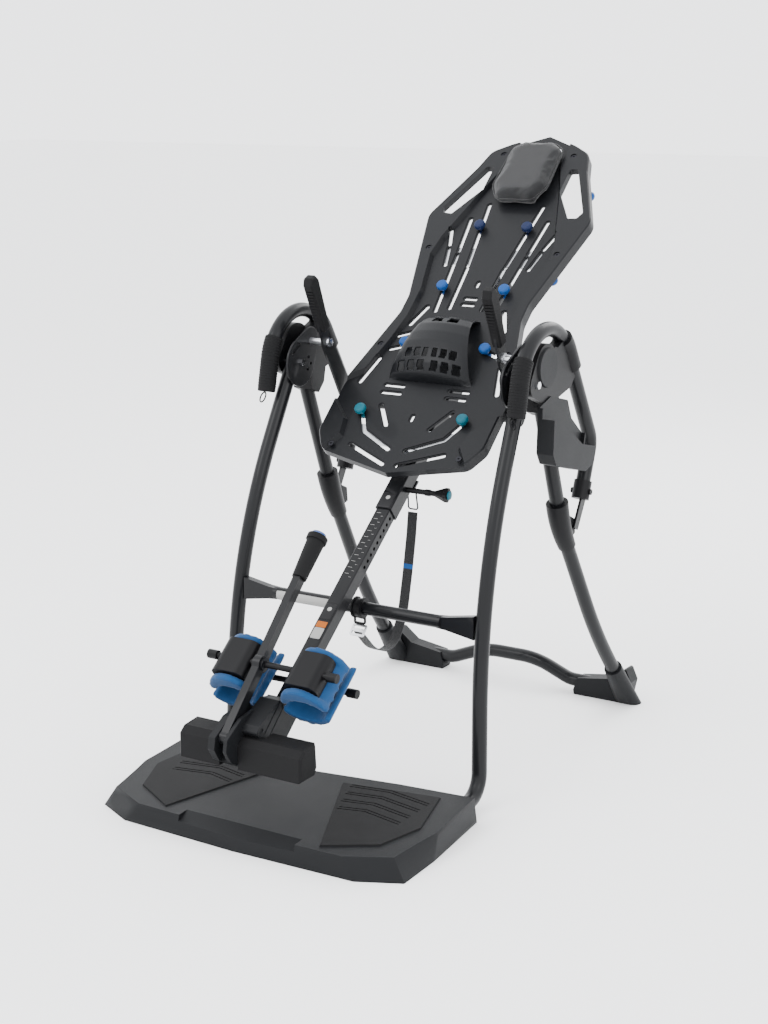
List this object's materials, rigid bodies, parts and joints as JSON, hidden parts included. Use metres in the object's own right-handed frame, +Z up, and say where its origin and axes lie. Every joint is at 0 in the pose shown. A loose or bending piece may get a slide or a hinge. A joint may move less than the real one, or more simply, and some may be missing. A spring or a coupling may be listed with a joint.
{
  "type": "inversion table",
  "caption": "Folding inversion table with a moulded back panel, padded ankle clamps, adjustable shaft, arched handles and a step platform.",
  "frame": {"origin": "floor level, under the middle of the bounding box of the machine as it stands open", "axes": "+Z up; +Y from the step platform to the rear feet; +X completes the right-handed set, towards the side with the storage caddy; X = 0 is the plane of symmetry"},
  "size_m": [0.784, 1.4759, 1.4396],
  "materials": {
    "black_paint": "satin",
    "charcoal_plastic": "matte",
    "black_plastic": "satin",
    "blue_grey_plastic": "satin",
    "black_rubber": "matte",
    "black_fabric": "matte",
    "webbing": "matte",
    "blue_foam": "matte",
    "blue_plastic": "gloss",
    "navy_rubber": "matte",
    "blue_rubber": "satin",
    "teal_rubber": "satin",
    "steel": "satin",
    "chrome": "polished",
    "black_screw": "gloss"
  },
  "bodies": {
    "front_frame": {"platform": "charcoal_plastic", "tread_pads": "black_rubber", "front_leg_left": "black_paint", "front_leg_right": "black_paint", "front_crossbar": "black_paint", "tether_ring": "black_plastic", "tether_buckle": "steel", "tether_strap": "webbing", "hinge_plate_left": "black_paint", "hinge_plate_right": "black_paint", "fold_bolts": "chrome"},
    "rear_frame": {"arch_tube_left": "black_paint", "arch_tube_right": "black_paint", "arch_grip_left": "black_rubber", "arch_grip_right": "black_rubber", "hinge_housing_left": "black_plastic", "hinge_housing_right": "black_plastic", "hinge_caps": "charcoal_plastic", "upper_rear_leg_left": "black_paint", "upper_rear_leg_right": "black_paint", "leg_collar_left": "black_plastic", "leg_collar_right": "black_plastic", "arch_end_fittings": "black_plastic", "rear_struts": "black_paint", "lower_rear_leg_left": "black_paint", "lower_rear_leg_right": "black_paint", "rear_base": "black_paint", "rear_foot_left": "charcoal_plastic", "rear_foot_right": "charcoal_plastic", "storage_caddy": "charcoal_plastic"},
    "table": {"back_panel": "blue_grey_plastic", "panel_screws": "black_screw", "head_pillow": "black_fabric", "lumbar_bridge": "blue_grey_plastic", "knobs_head": "navy_rubber", "knobs_middle": "blue_rubber", "knobs_hip": "teal_rubber", "shaft_sleeve": "black_paint", "bed_crossmember": "black_paint", "hinge_arm_left": "black_paint", "hinge_arm_right": "black_paint", "lever_grip_left": "black_rubber", "lever_grip_right": "black_rubber", "pivot_pins": "steel", "arm_bolts": "chrome", "panel_brackets": "steel", "tether_hook": "steel"},
    "main_shaft": {"main_shaft": "black_paint", "ankle_housing": "charcoal_plastic", "lever_pin": "chrome", "foot_rests": "black_rubber", "rear_axle": "black_plastic", "rear_cushions": "blue_foam"},
    "ankle_lever": {"ankle_lever": "black_paint", "lever_handle": "black_rubber", "handle_cap": "blue_plastic", "front_axle": "black_plastic", "front_cup_backs": "black_plastic", "front_cushions": "blue_foam"},
    "selector_pin": {"selector_pin": "black_plastic"}
  },
  "joints": [
    {"name": "frame_fold", "type": "hinge", "parent": "front_frame", "child": "rear_frame", "pos_m": [0, -0.03, 0.925], "axis": [1, 0, 0], "range_deg": [-30, 0]},
    {"name": "table_pivot", "type": "hinge", "parent": "front_frame", "child": "table", "pos_m": [0, 0.012, 0.972], "axis": [1, 0, 0], "range_deg": [-130, 0], "deforming": ["tether_strap"]},
    {"name": "shaft_slide", "type": "slide", "parent": "table", "child": "main_shaft", "axis": [0, 0.7837, 0.6211], "range_m": [0, 0.2]},
    {"name": "ankle_lever_hinge", "type": "hinge", "parent": "main_shaft", "child": "ankle_lever", "pos_m": [-0.03, -0.70934, 0.2401], "axis": [1, 0, 0], "range_deg": [0, 25]},
    {"name": "pin_pull", "type": "slide", "parent": "table", "child": "selector_pin", "axis": [1, 0, 0], "range_m": [0, 0.015], "stiffness_N_per_m": 300}
  ]
}
